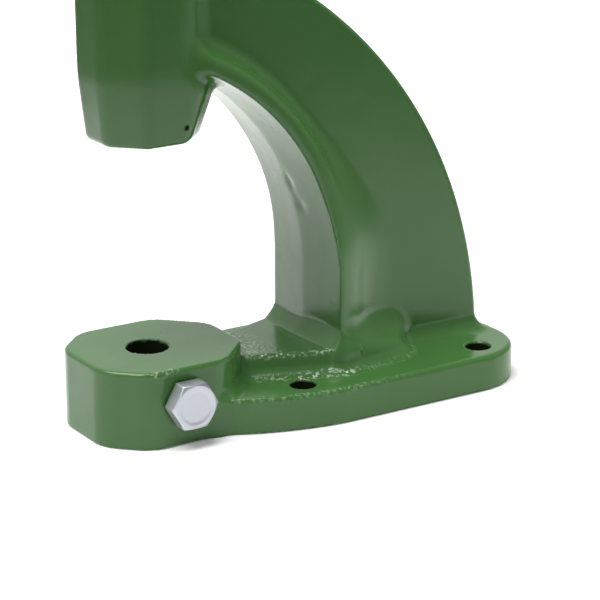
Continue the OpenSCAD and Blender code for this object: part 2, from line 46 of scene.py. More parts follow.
# ---------------------------------------------------------------- distances, in millimetres
# A field gives how far a point lies outside a form; it is negative inside. The last value
# that both, either and cut are given is the radius of the edge or fillet that they leave.

def both(a, b, r):
    """What lies in a and in b, with the edge between them rounded to radius r.
    Inside the edge zone the distance is the length of (a + r, b + r) less r."""
    return np.minimum(np.maximum(a, b), -r) + np.hypot(np.maximum(a + r, 0), np.maximum(b + r, 0))


def either(a, b, r):
    """What lies in a or in b, with a concave fillet of radius r where they meet.
    Near the corner the distance is r less the length of (r - a, r - b)."""
    return np.maximum(np.minimum(a, b), r) - np.hypot(np.maximum(r - a, 0), np.maximum(r - b, 0))


def cut(a, hole, r):
    """Form a with a hole taken out, its rim rounded to radius r."""
    return both(a, -hole, r)


def fade(t):
    """Smooth step: 0 below t = 0, 1 above t = 1, and 3 t squared less 2 t cubed between."""
    t = np.clip(t, 0, 1)
    return t * t * (3 - 2 * t)


def rod(a, b, radius, ends, low, high, r):
    """Straight round rod: distance from its axis less its radius, cut off at two ends,
    with both rims rounded to radius r."""
    return both(both(np.hypot(a, b) - radius, low - ends, r), ends - high, r)


def skin(name, field, low, high):
    """Closed skin of the surface where field(x, y, z) is zero, all in millimetres.
    Each grid cell that the surface crosses gets one point, at the mean of its edge
    crossings. The points are evened out between their neighbours, and each is then moved
    along the field's slope onto the surface, so the skin follows the formula itself."""
    step, rounds = 1.1, 4
    # the margin is no whole number of steps, so no flat face lies in a plane of the grid
    axes = [np.arange(a - 2.37 * step, b + 2.6 * step, step) for a, b in zip(low, high)]
    grid = np.meshgrid(*axes, indexing="ij", sparse=True)
    f = np.broadcast_to(field(*grid), [len(a) for a in axes]).astype(np.float32)
    inside = f < 0
    cells = tuple(n - 1 for n in f.shape)
    total = np.zeros(cells + (3,), np.float32)
    count = np.zeros(cells, np.int32)
    crossings = []
    for axis in range(3):
        first = [slice(None)] * 3
        second = [slice(None)] * 3
        first[axis], second[axis] = slice(None, -1), slice(1, None)
        f0, f1 = f[tuple(first)], f[tuple(second)]
        at = np.argwhere(inside[tuple(first)] != inside[tuple(second)])
        i = tuple(at.T)
        place = at.astype(np.float32)
        place[:, axis] += f0[i] / (f0[i] - f1[i])
        crossings.append((at, inside[tuple(first)][i]))
        u, v = [a for a in range(3) if a != axis]
        for du in (0, -1):
            for dv in (0, -1):
                c = at.copy()
                c[:, u] += du
                c[:, v] += dv
                np.add.at(total, tuple(c.T), place)
                np.add.at(count, tuple(c.T), 1)
    used = count > 0
    number = np.full(cells, -1, np.int64)
    number[used] = np.arange(used.sum())
    points = total[used] / count[used][:, None] * step + np.array([a[0] for a in axes])
    quads = []
    for axis, (at, solid_first) in enumerate(crossings):
        u, v = [a for a in range(3) if a != axis]
        ring = []
        for du, dv in ((-1, -1), (0, -1), (0, 0), (-1, 0)):
            c = at.copy()
            c[:, u] += du
            c[:, v] += dv
            ring.append(number[tuple(c.T)])
        ring = np.stack(ring, 1)
        turn = solid_first if axis != 1 else ~solid_first
        ring[~turn] = ring[~turn][:, ::-1]
        quads.append(ring)
    quads = np.concatenate(quads)
    a, b = np.concatenate([quads[:, [k, (k + 1) % 4]] for k in range(4)]).T
    n = len(points)
    neighbours = np.bincount(a, minlength=n) + np.bincount(b, minlength=n)
    for turn in range(rounds):
        if turn < rounds - 1:
            mean = np.stack([np.bincount(a, points[b, k], n) + np.bincount(b, points[a, k], n)
                             for k in range(3)], 1) / neighbours[:, None]
            points = 0.4 * points + 0.6 * mean
        for _ in range(2):
            g = slope_of(field, points, 0.05 * step)
            move = (field(*points.T) / np.maximum((g * g).sum(1), 0.2))[:, None] * g
            points = points - np.clip(move, -step, step)
    piece = solid(name, points * MM, quads)
    # the shading takes its normals from the field too
    g = slope_of(field, points, 0.12 * step)
    g = g / np.maximum(np.sqrt((g * g).sum(1)), 1e-6)[:, None]
    piece.data.normals_split_custom_set_from_vertices(g.tolist())
    return piece


def slope_of(field, points, h):
    """The field's slope at each point: its change from a step h before the point to a step
    h after it, along x, y and z, divided by 2 h."""
    x, y, z = points.T
    return np.stack([field(x + h, y, z) - field(x - h, y, z),
                     field(x, y + h, z) - field(x, y - h, z),
                     field(x, y, z + h) - field(x, y, z - h)], 1) / (2 * h)


def solid(name, points, faces):
    """A smooth-shaded mesh object at the origin, from arrays of points and of faces."""
    mesh = bpy.data.meshes.new(name)
    faces = np.asarray(faces)
    n, k = faces.shape
    mesh.vertices.add(len(points))
    mesh.vertices.foreach_set("co", np.asarray(points, np.float32).ravel())
    mesh.loops.add(n * k)
    mesh.loops.foreach_set("vertex_index", faces.astype(np.int32).ravel())
    mesh.polygons.add(n)
    mesh.polygons.foreach_set("loop_start", np.arange(0, n * k, k, dtype=np.int32))
    mesh.polygons.foreach_set("loop_total", np.full(n, k, np.int32))
    mesh.polygons.foreach_set("use_smooth", np.ones(n, bool))
    mesh.update()
    mesh.validate()
    piece = bpy.data.objects.new(name, mesh)
    scene.collection.objects.link(piece)
    return piece


# ---------------------------------------------------------------- the frame casting

# how far the throat's arc and the outer arc reach back, their radii, and the heights of
# their centres
THROAT_X, THROAT_R, THROAT_Z = 70.0, 95.0, 49.5
BACK_REACH, BACK_R, BACK_Z = 145.0, 181.0, 9.0
# half widths of the rim at the head and at its foot, of the web, and of the pad
HALF_RIM, HALF_LEG, HALF_WEB, HALF_PAD = 22.5, 25.2, 12.5, 25.5
# heights of the top faces of flange, boss, rib and pad
BASE_T, BOSS_H, RIB_H, PAD_H = 14.4, 30.0, 23.0, 28.8
# flange: half width, where its straight sides start, and its rear end
HALF_BASE, BASE_FRONT, BASE_REAR = 43.0, 38.0, 152.0
# boss: reach to the front and to the rear of its bore, half width, and what each 45 degree
# cut takes off the corners
BOSS_FRONT, BOSS_REAR, HALF_BOSS = 28.5, 34.5, 29.3
FRONT_CUT, REAR_CUT = 14, 16.5
# half width of the rib where it leaves the boss, that place, and its flare to each side
RIB_HALF, RIB_START, RIB_FLARE = 11.5, 30.5, 0.347
# head: underside, top and half width across its flats
HEAD_LOW, HEAD_TOP, HALF_HEAD = 111.0, 205.0, 22
# upright bores for the die, the ram and the screw's nut, and the seat of the nut
DIE_R, RAM_R, NUT_R, NUT_SEAT = 8.0, 13.05, 16.0, 171
# cross holes for the clamp bolt, the ram guide screw and the nut's lock screw
BOLT_HOLE_R, BOLT_Z = 5.05, 17
GUIDE_HOLE_R, GUIDE_Z = 4.0, 133
LOCK_HOLE_R, LOCK_Z = 3.0, 191
# bench holes: radius, the middle of their rectangle along x, and half its sides
BENCH_R, BENCH_X, BENCH_HALF_X, BENCH_HALF_Y = 5.0, 91, 41, 30.5
# sine of 45 degrees
CORNER = 0.5 ** 0.5


def behind_throat(x, z):
    """Distance behind the throat face: from its arc above the arc's centre, from a plane below."""
    above = np.hypot(x - (THROAT_X - THROAT_R), z - THROAT_Z) - THROAT_R
    return np.where(z > THROAT_Z, above, x - THROAT_X)


def base_plan(x, y):
    """Outline of the flange: straight sides, round rear corners, and front edges that
    slant inwards to the boss by 32 degrees. It starts inside the boss."""
    wide = np.abs(y)
    back = both(wide - HALF_BASE, x - BASE_REAR, 25)
    slant = 0.534 * (BASE_FRONT - x) + 0.845 * (wide - HALF_BASE)
    return np.maximum(both(back, slant, 14), 10 - x)


def base_flange(x, y, z):
    """The flange outline between the ground and its rounded top edge."""
    return both(both(base_plan(x, y), z - BASE_T, 2.2), -z, 0.8)


def die_boss(x, y, z):
    """Rectangle with its corners cut at 45 degrees, deeper at the rear, every edge rounded."""
    wide = np.abs(y)
    long = np.abs(x - (BOSS_REAR - BOSS_FRONT) / 2) - (BOSS_REAR + BOSS_FRONT) / 2
    front = wide - x - (BOSS_FRONT + HALF_BOSS - FRONT_CUT)
    rear = wide + x - (BOSS_REAR + HALF_BOSS - REAR_CUT)
    plan = both(both(long, wide - HALF_BOSS, 4), np.maximum(front * CORNER, rear * CORNER), 4)
    return both(both(plan, z - BOSS_H, 1.5), -z, 0.8)


def rib_half(x):
    """Half width of the rib's top: it flares evenly from the boss to the column."""
    return RIB_HALF + RIB_FLARE * (np.clip(x, RIB_START, THROAT_X) - RIB_START)


def base_rib(x, y, z):
    """Wedge from the boss to the column, whose sides spread by 0.3 for each unit down."""
    side = (np.abs(y) - rib_half(x) - 0.3 * (RIB_H - z)) * 0.95
    return np.maximum(np.maximum(both(side, z - RIB_H, 1.6), 26 - x), x - 79)


def column_foot(x, y, z):
    """Pad that carries the column on the flange. It goes on from the rib's flare and ends
    in sides that draw in towards the rear and slant at the rear corners. Its top is flat
    across the web, and falls by 0.5 for each unit to a side and 0.28 for each to the rear."""
    wide, down = np.abs(y), RIB_H - z
    flare = (wide - RIB_HALF - RIB_FLARE * (x - RIB_START) - 0.3 * down) * 0.9
    side = (wide + 0.12 * (x - 78) - HALF_PAD - 0.3 * down) * 0.94
    corner = 0.92 * x + 0.39 * wide - 103.0 - 0.15 * down
    beside_web = np.maximum(wide, HALF_WEB) - HALF_WEB
    top = (z - PAD_H + 0.5 * beside_web + 0.28 * (x - 86)) * 0.87
    plan = both(both(flare, side, 5), corner, 3)
    return np.maximum(both(plan, top, 3), 78.5 - x)


def rim_front(x, y, z):
    """Distance in front of the throat face, whose two halves fall away from the parting
    ridge by 2 mm. The ridge has two shallow casting dents, each a bell of e to the power
    of minus the squared distance."""
    wide = np.abs(y) / HALF_LEG
    dents = 0.6 * np.exp(-((y + 1.0) / 2.2) ** 2 - ((z - 85) / 4.0) ** 2)
    dents = dents + 0.5 * np.exp(-((y + 4.0) / 3.0) ** 2 - ((z - 76) / 3.0) ** 2)
    return 2.0 * np.sqrt(wide * wide + 0.003) - 0.6 + dents - behind_throat(x, z)


def inner_rim(x, y, z):
    """Band behind the throat face. It widens down the leg. Behind its sides it slopes
    back to the web, at 45 degrees low down and more steeply towards the head, where the
    edge of this slope is also less rounded."""
    u = behind_throat(x, z)
    wide = np.abs(y) - (HALF_LEG - (HALF_LEG - HALF_RIM) * fade((z - THROAT_Z) / 38))
    high = fade((z - 60) / 60)
    lean = 1 - 0.5 * high
    slope = (u + lean * wide - 7) / np.sqrt(1 + lean * lean)
    band = both(np.maximum(wide, -2 - u), slope, 6.5 - 4 * high)
    return np.maximum(both(band, 12 - x, 5), 15 - z)


def web(x, y, z):
    """Plate between the rim and the outer arc, rounded along the outer arc, with a fillet
    at its heel."""
    rear = np.hypot(x - (BACK_REACH - BACK_R), z - BACK_Z) - BACK_R
    rear = np.where(z > BACK_Z, rear, x - BACK_REACH)
    plate = both(rear, np.abs(y) - HALF_WEB, 2.2)
    return np.maximum(np.maximum(plate, 5 - behind_throat(x, z)), np.maximum(-x, z - 200))


def head(x, y, z):
    """Octagonal column, tapered over its lowest 25 mm and drafted more on its rear side.
    Its two rear edges, which run into the web, are rounder than the others."""
    low = (HEAD_LOW + 25 - z) / 25
    half = HALF_HEAD - 1.25 * np.clip(low + np.sqrt(low * low + 0.02), 0, 2.2)
    draft = 0.3 * np.clip(z - HEAD_LOW, 0, 18) * (1 - fade((z - 130) / 16))
    a, b = np.where(x > 0, x - draft * fade(x / 12), -x), np.abs(y)
    r = 2.2 + 2.3 * fade((x + 3) / 9) * fade((z - 112) / 34)
    plan = both(np.maximum(a, b) - half, (a + b) * CORNER - half, r)
    return both(both(plan, z - HEAD_TOP, 0.8), HEAD_LOW - z, 2.5)


def bench_axis(x, y):
    """Distance from the nearest of the four bench holes' axes."""
    return np.hypot(np.abs(x - BENCH_X) - BENCH_HALF_X, np.abs(y) - BENCH_HALF_Y)


def casting(x, y, z):
    """The whole frame: each form joined to the next with its own fillet, then the bores.
    The fillets of the column shrink with height, from 10 mm at its foot."""
    column = either(inner_rim(x, y, z), web(x, y, z), 10 - 6.5 * fade((z - 60) / 60))
    column = both(column, rim_front(x, y, z), 1.1)
    upper = either(column, head(x, y, z), 5)
    # round pad for the ram guide screw, on the far side of the head
    upper = either(upper, both(rod(x, z - GUIDE_Z, 9.0, y, 12, 25, 0.8), -y, 0.1), 2)
    lower = either(base_flange(x, y, z), die_boss(x, y, z), 5)
    raised = np.minimum(base_rib(x, y, z), column_foot(x, y, z))
    lower = either(lower, raised, 5 - 3.4 * fade((z - 17) / 4))
    # the run-up from the pad to the column is tighter on the far side and beside the web
    whole = either(upper, lower, 7 + 2 * fade((12 - y) / 24) - 2 * fade((x - 76) / 8))
    whole = both(whole, -z, 0.8)
    across = np.hypot(x, y)
    whole = cut(whole, np.maximum(across - DIE_R, z - 60), 0.5)
    whole = cut(whole, np.maximum(np.hypot(x, z - BOLT_Z) - BOLT_HOLE_R, y), 0.5)
    whole = cut(whole, np.maximum(bench_axis(x, y) - BENCH_R, z - 40), 0.8)
    whole = cut(whole, np.maximum(across - RAM_R, 100 - z), 0.4)
    whole = cut(whole, np.maximum(across - NUT_R, NUT_SEAT - z), 0.2)
    whole = cut(whole, np.maximum(np.hypot(x, z - GUIDE_Z) - GUIDE_HOLE_R, -y), 0.2)
    return cut(whole, np.maximum(np.hypot(y, z - LOCK_Z) - LOCK_HOLE_R, x), 0.2)


casting_piece = skin("frame_casting", casting, (-28.5, -43, 0), (152, 43, 205))
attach(casting_piece, "frame")
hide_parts("frame")


# ---------------------------------------------------------------- surfaces on a grid

def sheet_of(name, x, y, z, close_v=False):
    """Surface through a grid of points, joined into quads. Its rows run along u, which
    goes round the axis and closes, and its columns along v, the profile."""
    nu, nv = x.shape
    number = np.arange(nu * nv).reshape(nu, nv)
    u, v = np.meshgrid(np.arange(nu), np.arange(nv if close_v else nv - 1), indexing="ij")
    u1, v1 = (u + 1) % nu, (v + 1) % nv
    faces = np.stack([number[u, v], number[u1, v], number[u1, v1], number[u, v1]], -1)
    piece = solid(name, np.stack([x, y, z], -1).reshape(-1, 3) * MM, faces.reshape(-1, 4))
    tidy(piece)
    return piece


def turned(name, r, h, x0=0.0, close_v=False):
    """Turned piece: the profile of radius r and height h carried round a vertical axis at
    x0. Where an end of an open profile stays off the axis, a flat disc closes it."""
    angle = np.linspace(0, 2 * np.pi, 96, endpoint=False)[:, None]
    return sheet_of(name, x0 + r * np.cos(angle), r * np.sin(angle), h + 0 * angle, close_v)


def tidy(piece):
    """Merges doubled points, closes the poles and turns every face outwards."""
    bm = bmesh.new()
    bm.from_mesh(piece.data)
    bmesh.ops.remove_doubles(bm, verts=bm.verts, dist=2e-6)
    bmesh.ops.holes_fill(bm, edges=[e for e in bm.edges if e.is_boundary], sides=0)
    bmesh.ops.recalc_face_normals(bm, faces=bm.faces)
    bm.to_mesh(piece.data)
    bm.free()
    piece.data.polygons.foreach_set("use_smooth", np.ones(len(piece.data.polygons), bool))


# ---------------------------------------------------------------- screw, arm, balls and handle

# screw thread: radius, depth, number of starts, and lead in one turn
SCREW_R, DEPTH, STARTS, LEAD = 11.0, 2.4, 4, 40.0
# heights along the screw: lower end, both ends of the thread, and the top of the stud
SCREW_LOW, SHOULDER, THREAD_TOP, STUD_TOP = 150.0, 168.5, 241.2, 302.4
# the arm's hub from end to end, with the arms' axis at its middle
HUB_LOW, HUB_TOP, ARM_Z = 255.9, 283.9, 269.9
# radii of the screw's journal and stud, and of the arm's tip in its ball
JOURNAL_R, STUD_R, TIP_R = 9.0, 8.0, 8.0
BALL_X, BALL_R = 150.0, 30.0
HUB_WASHER_T = 2.5
# lower end and length of the grip, and the seat of the nut under it
GRIP_LOW, GRIP_LONG, CAP_SEAT = 154.8, 82.0, 152.5


def fly_arm(x, y, z):
    """Hub with rounded rims, and two arms that grow out of it with wide fillets. Each arm
    loses 2.4 of its radius on the way to its shoulder, and ends in a tip for its ball.
    The hub has the bore of the screw's journal and a keyway."""
    hub_r, half_hub, root_r, shoulder, tip_end = 20.0, 14.0, 11.5, 121.5, 176.8
    across, along, up = np.hypot(x, y), np.abs(x), z - ARM_Z
    thick = np.hypot(y, up)
    hub = both(across - hub_r, np.abs(up) - half_hub, 3.5)
    arm = both((thick - (root_r - 2.4 * along / 122)) * 0.99, along - shoulder, 1.2)
    tip = both(thick - TIP_R, along - tip_end, 1.0)
    whole = either(either(hub, arm, 7), tip, 0.8)
    keyway = np.maximum(np.maximum(np.abs(y) - 3.0, x - 12.0), -x)
    return np.maximum(cut(whole, across - JOURNAL_R, 0.6), -keyway)


def ball(side):
    """Ball with faced ends, bored for the arm's tip and drilled from above for its set
    screw. The front ball, on side -1, is spot-faced and bored from below for the stem."""
    half_length, screw_r, spot_r, stem_r = 28.0, 4.0, 9.5, 5.0

    def field(x, y, z):
        a, up = x - side * BALL_X, z - ARM_Z
        across = np.hypot(a, y)
        whole = both(np.sqrt(a * a + y * y + up * up) - BALL_R, np.abs(a) - half_length, 1.2)
        whole = cut(whole, np.hypot(y, up) - TIP_R, 0.8)
        whole = cut(whole, np.maximum(across - screw_r, -up), 0.5)
        if side < 0:
            whole = cut(whole, np.maximum(across - spot_r, up + 28.8), 0.4)
            whole = cut(whole, np.maximum(across - stem_r, up + 9.0), 0.3)
        return whole
    return field


def press_screw():
    """Radius as a function of angle and height. In the threaded stretch the phase is
    starts times (angle / turn less height / lead): crest, flank, root, flank in turn.
    Below it lie the neck and its groove, and above it the shank, journal and stud. The
    steps in height are finest at the two threads."""
    outer, root_end, neck_r, groove_r, shank_r = SCREW_R - 0.15, 8.4, 7.0, 4.5, 11.5
    z = np.concatenate([np.arange(low, high, step) for low, high, step in
                        ((SCREW_LOW, SHOULDER, 0.5), (SHOULDER, THREAD_TOP, 0.45),
                         (THREAD_TOP, HUB_TOP, 0.6), (HUB_TOP, STUD_TOP, 0.2))])
    angle = np.linspace(0, 2 * np.pi, 224, endpoint=False)[:, None]
    turn = angle / (2 * np.pi)
    phase = (STARTS * (turn - (z - SHOULDER) / LEAD)) % 1.0
    root = fade((phase - 0.40) / 0.12) * (1 - fade((phase - 0.88) / 0.12))
    crest = np.minimum(outer, root_end + (z - SHOULDER) * 1.2)
    thread = np.minimum(crest, outer - DEPTH * root)
    # the stud's thread is a fine one of 2 mm pitch, chamfered at its end
    fine = np.abs(((z - HUB_TOP) / 2.0 - turn) % 1.0 - 0.5) * 2
    stud = np.minimum(STUD_R - 0.9 * fade(fine), STUD_R - np.maximum(z - 301.2, 0) * 1.2)
    neck = np.where((z > 155.3) & (z < 160.7), groove_r, neck_r)
    shank = np.minimum(shank_r, SCREW_R + (z - THREAD_TOP))
    r = np.where(z < SHOULDER, neck, thread)
    for low, stretch in ((THREAD_TOP, shank), (HUB_LOW, JOURNAL_R), (HUB_TOP, stud)):
        r = np.where(z > low, stretch, r)
    r = np.concatenate([0 * r[:, :1], r, 0 * r[:, :1]], 1)
    z = np.concatenate([z[:1], z, z[-1:]])
    return sheet_of("press_screw_turned", r * np.cos(angle), r * np.sin(angle), z + 0 * r)


def eased(*corners):
    """Closed outline through corners given as (radius, height, rounding). Each corner is
    replaced by five points of a curve whose weights (1 - t) squared, 2 t (1 - t) and t
    squared carry it from one side to the other."""
    points = np.array([c[:2] for c in corners], float)
    reach = np.array([c[2] for c in corners], float)[:, None]
    before, after = np.roll(points, 1, 0) - points, np.roll(points, -1, 0) - points
    start = points + before / np.linalg.norm(before, axis=1, keepdims=True) * reach
    end = points + after / np.linalg.norm(after, axis=1, keepdims=True) * reach
    t = np.linspace(0, 1, 5)[None, :, None]
    curve = ((1 - t) ** 2 * start[:, None] + 2 * t * (1 - t) * points[:, None]
             + t ** 2 * end[:, None])
    return curve.reshape(-1, 2).T


def washer(name, inner, outer, low, high, edge, x0=0.0):
    """Flat ring with small eased edges."""
    outline = eased((inner, low, edge), (outer, low, edge), (outer, high, edge), (inner, high, edge))
    return turned(name, *outline, x0, close_v=True)


def hexagon(profile_r, profile_t, across_flats):
    """Radius of a hexagon piece as a function of angle and place along a profile. It is
    the smaller of the profile's own radius and the hexagon's, which is half the width
    across flats over the p-norm of the cosines of the angles to the six flats. The norm
    of order 70 leaves the corners just off sharp. Where the profile is narrower than the
    flats, as on a shank or a dome, the piece stays round."""
    angle = np.linspace(0, 2 * np.pi, 288, endpoint=False)[:, None]
    flats = np.stack([np.maximum(np.cos(angle - k * np.pi / 3), 0) for k in range(6)])
    hexa = across_flats / 2 / (flats ** 70).sum(0) ** (1 / 70)
    r = np.minimum(profile_r, hexa)
    # the turned chamfer and the flats meet in a slightly rounded ridge
    r = r - 0.12 * np.exp(-np.abs(profile_r - hexa) / 0.12)
    r = np.where(profile_r < across_flats * 0.46, profile_r, r)
    return r, profile_t + 0 * angle, angle


def hex_profile(across_flats, thickness, hole, both_ends=False):
    """Profile of a hexagon nut or head from its seat to its outer face: straight sides,
    then a chamfer that leans in by 1.73 for each unit of height. Both rims are eased."""
    half = across_flats / 2
    flat, tall = half * 0.96, half * 0.125
    k = np.linspace(0, 1, 14)
    chamfer_r, chamfer_t = flat + (1 - k) * tall * 1.732, thickness - (1 - k) * tall
    r = np.concatenate([[half * 1.2] * 6, chamfer_r, [flat - 0.25, flat - 0.9, hole + 0.9, hole + 0.6]])
    t = np.concatenate([np.linspace(0.0, thickness - tall * 1.3, 6), chamfer_t, [thickness] * 4])
    if both_ends:
        low_r, low_t = chamfer_r[::-1], thickness - chamfer_t[::-1]
        r = np.concatenate([[flat - 0.9, flat - 0.25], low_r, r[6:]])
        t = np.concatenate([[0.0, 0.0], low_t, t[6:]])
    return r, t


def clamp_bolt():
    """Hexagon bolt along Y, head outwards: shank from its chamfered tip to the head's
    seat, then the hexagon with its chamfer, and a face dished a little inside its rim."""
    flats, tall, seat_y = 17.0, 6.4, -30.3
    r, t = hex_profile(flats, tall, 0.0)
    shank_r = [0, 3.9, 4.0, 5.0, 5.0, 5.0, 7.6, 8.3]
    shank_t = [-22.0, -22.0, -21.9, -20.9, -10.0, 0.0, 0.0, 0.0]
    face_r = np.linspace(7.2, 0, 12)
    face_t = tall - 0.35 * fade((7.2 - face_r) / 1.4)
    r, t, angle = hexagon(np.concatenate([shank_r, r[:-2], face_r]),
                          np.concatenate([shank_t, t[:-2], face_t]), flats)
    # two flats lie level, above and below the bolt's axis
    return crisp(sheet_of("die_clamp_bolt_forged", r * np.sin(angle), seat_y - t,
                          BOLT_Z + r * np.cos(angle)))


def crisp(piece):
    """Keeps every edge that folds by more than 28 degrees sharp in the shading."""
    piece.data.set_sharp_from_angle(angle=np.radians(28))
    return piece


def hub_nut():
    """Hexagon nut, chamfered on both faces and bored through."""
    flats, tall = 24.0, 13.0
    r, t = hex_profile(flats, tall, STUD_R, True)
    bore_r, bore_t = [STUD_R, STUD_R, 8.6], [tall - 0.6, 0.6, 0.0]
    r, t, angle = hexagon(np.concatenate([r, bore_r]), np.concatenate([t, bore_t]), flats)
    return crisp(sheet_of("hub_nut_forged", r * np.sin(angle), r * np.cos(angle),
                          t + HUB_TOP + HUB_WASHER_T, close_v=True))


def cap_nut():
    """Hexagon whose outer face carries a dome of 6 mm radius, bored from its seat. It
    hangs under the washer, so its outer face looks down."""
    flats, tall, dome = 13.0, 6.5, 6.0
    r, t = hex_profile(flats, tall, 0.0)
    k = np.linspace(0.16, np.pi / 2, 12)
    dome_r, dome_t = dome * np.cos(k), tall + dome * np.sin(k) * 0.999
    bore_r, bore_t = [0, 4.0, 4.0, 4.4], [6.0, 6.0, 0.4, 0.0]
    r, t, angle = hexagon(np.concatenate([bore_r, r[:-3], dome_r]),
                          np.concatenate([bore_t, t[:-3], dome_t]), flats)
    return crisp(sheet_of("grip_cap_nut_forged", r * np.sin(angle) - BALL_X, r * np.cos(angle),
                          CAP_SEAT - t))


def dress(piece, node, body, slot):
    """Makes a finished piece stand for its CAD node on its body, with its record slot.
    Gives back the piece and the slot whose finish it takes."""
    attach(piece, body)
    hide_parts(node)
    return piece, slot


def grip_profile():
    """Outline of the grip. With t from 0 at its foot to 1 at its top, the radius follows
    the sine of pi times (1 - t) to the power 1.25, so it is fullest a little below its
    middle. A quarter circle rounds each end, and the end faces close round the stem."""
    stem_r, rounding = 5.1, 2.2
    t = np.linspace(0, 1, 60)
    r = 14.5 * (0.66 + 0.34 * np.sin(np.pi * (1 - t) ** 1.25) + 0.02 * t)
    h = GRIP_LOW + GRIP_LONG * t
    inside = np.clip(np.minimum(t, 1 - t) * GRIP_LONG / rounding, 0, 1)
    r = r - rounding * (1 - np.sqrt(np.clip(1 - (1 - inside) ** 2, 0, 1)))
    return (np.concatenate([[stem_r], r, [stem_r]]),
            np.concatenate([[GRIP_LOW], h, [GRIP_LOW + GRIP_LONG]]))


def bronze_nut():
    """Nut pressed into the head: plain body below, wider flange with eased rims on top."""
    bore, flange, top = 11.3, 20.5, 211
    outline = eased((bore, NUT_SEAT, 0.6), (NUT_R, NUT_SEAT, 0.6), (NUT_R, HEAD_TOP, 0.2),
                    (flange, HEAD_TOP, 0.4), (flange, top, 1.0), (bore, top, 0.8))
    return turned("screw_nut_turned", *outline, close_v=True)


def stem_profile():
    """Outline of the stem: stud, grip journal, shoulder, and the end inside the ball."""
    r = [0, 3.4, 4, 4, 5, 5, 8.4, 9, 9, 8.4, 5, 5, 0]
    h = [146.5, 146.5, 147.1, 155.8, 155.8, 237.1, 237.1, 237.7, 240.5, 241.1, 241.1, 260.1, 260.1]
    return np.array(r, float), np.array(h, float)


def ball_skin(name, side):
    """The ball on one side of the screw, -1 for the front one, with the skin's reach."""
    low, high = sorted((side * (BALL_X - BALL_R), side * (BALL_X + BALL_R)))
    return skin(name, ball(side), (low, -BALL_R, ARM_Z - BALL_R), (high, BALL_R, ARM_Z + BALL_R))


UPPER = "screw_and_arm"
dressed = [
    dress(skin("fly_arm_casting", fly_arm, (-177, -21, 255.5), (177, 21, 284.5)),
          "fly_arm", UPPER, "green_enamel"),
    dress(ball_skin("front_ball_casting", -1), "front_ball", UPPER, "green_enamel"),
    dress(ball_skin("rear_ball_casting", 1), "rear_ball", UPPER, "green_enamel"),
    dress(press_screw(), "press_screw", UPPER, "ground_steel"),
    dress(clamp_bolt(), "die_clamp_bolt", "die_bolt", "zinc_plate"),
    dress(hub_nut(), "hub_nut", UPPER, "zinc_plate"),
    dress(cap_nut(), "grip_cap_nut", UPPER, "zinc_plate"),
    dress(washer("hub_washer_turned", 8.05, 16.0, HUB_TOP, HUB_TOP + HUB_WASHER_T, 0.4),
          "hub_washer", UPPER, "zinc_plate"),
    dress(washer("grip_washer_turned", 4.05, 8.5, CAP_SEAT, 154.5, 0.3, -BALL_X),
          "grip_washer", UPPER, "zinc_plate"),
    dress(turned("grip_moulded", *grip_profile(), -BALL_X), "handle_grip", "grip", "black_plastic"),
    dress(turned("handle_stem_turned", *stem_profile(), -BALL_X), "handle_stem", UPPER, "ground_steel"),
    dress(bronze_nut(), "screw_nut", "frame", "bronze"),
]


# ---------------------------------------------------------------- materials

def linear(hex_colour):
    """sRGB hex colour as linear red, green, blue and alpha."""
    c = np.array([int(hex_colour[i:i + 2], 16) for i in (1, 3, 5)]) / 255
    c = np.where(c <= 0.04045, c / 12.92, ((c + 0.055) / 1.055) ** 2.4)
    return (*c, 1.0)


def material(name):
    """New node material, its node tree, its shader and its object coordinates."""
    m = bpy.data.materials.new(name)
    m.use_nodes = True
    tree = m.node_tree
    shader = tree.nodes["Principled BSDF"]
    place = tree.nodes.new("ShaderNodeTexCoord").outputs["Object"]
    return m, tree, shader, place


# Settings that several nodes share. A mix of colours takes them at its inputs 6 and 7,
# and a mix of numbers at 2 and 3.
COLOURS, NUMBERS = {"data_type": "RGBA"}, {"data_type": "FLOAT"}
SOFT_STEP, MAXIMUM = {"interpolation_type": "SMOOTHSTEP"}, {"operation": "MAXIMUM"}
MULTIPLY, MULTIPLY_ADD = {"operation": "MULTIPLY"}, {"operation": "MULTIPLY_ADD"}
DISTANCE = {"operation": "DISTANCE"}


def node(tree, kind, settings=None, **links):
    """Adds one node. Settings are its own properties, and links its inputs by name, or
    by number after an underscore: an output socket is joined to the input, and any other
    value is set on it."""
    n = tree.nodes.new(kind)
    for key, value in (settings or {}).items():
        setattr(n, key, value)
    for key, value in links.items():
        socket = n.inputs[int(key[1:])] if key[1:].isdigit() else n.inputs[key.replace("_", " ")]
        if hasattr(value, "is_linked"):
            tree.links.new(value, socket)
        else:
            socket.default_value = value
    return n


def attribute_of(piece, name, field):
    """Stores a value of 0 to 1 at each point of a piece, given by a field in millimetres."""
    mesh = piece.data
    points = np.empty(len(mesh.vertices) * 3, np.float32)
    mesh.vertices.foreach_get("co", points)
    values = np.clip(field(*(points.reshape(-1, 3).T / MM)), 0, 1)
    mesh.attributes.new(name, "FLOAT", "POINT").data.foreach_set("value", values.astype(np.float32))


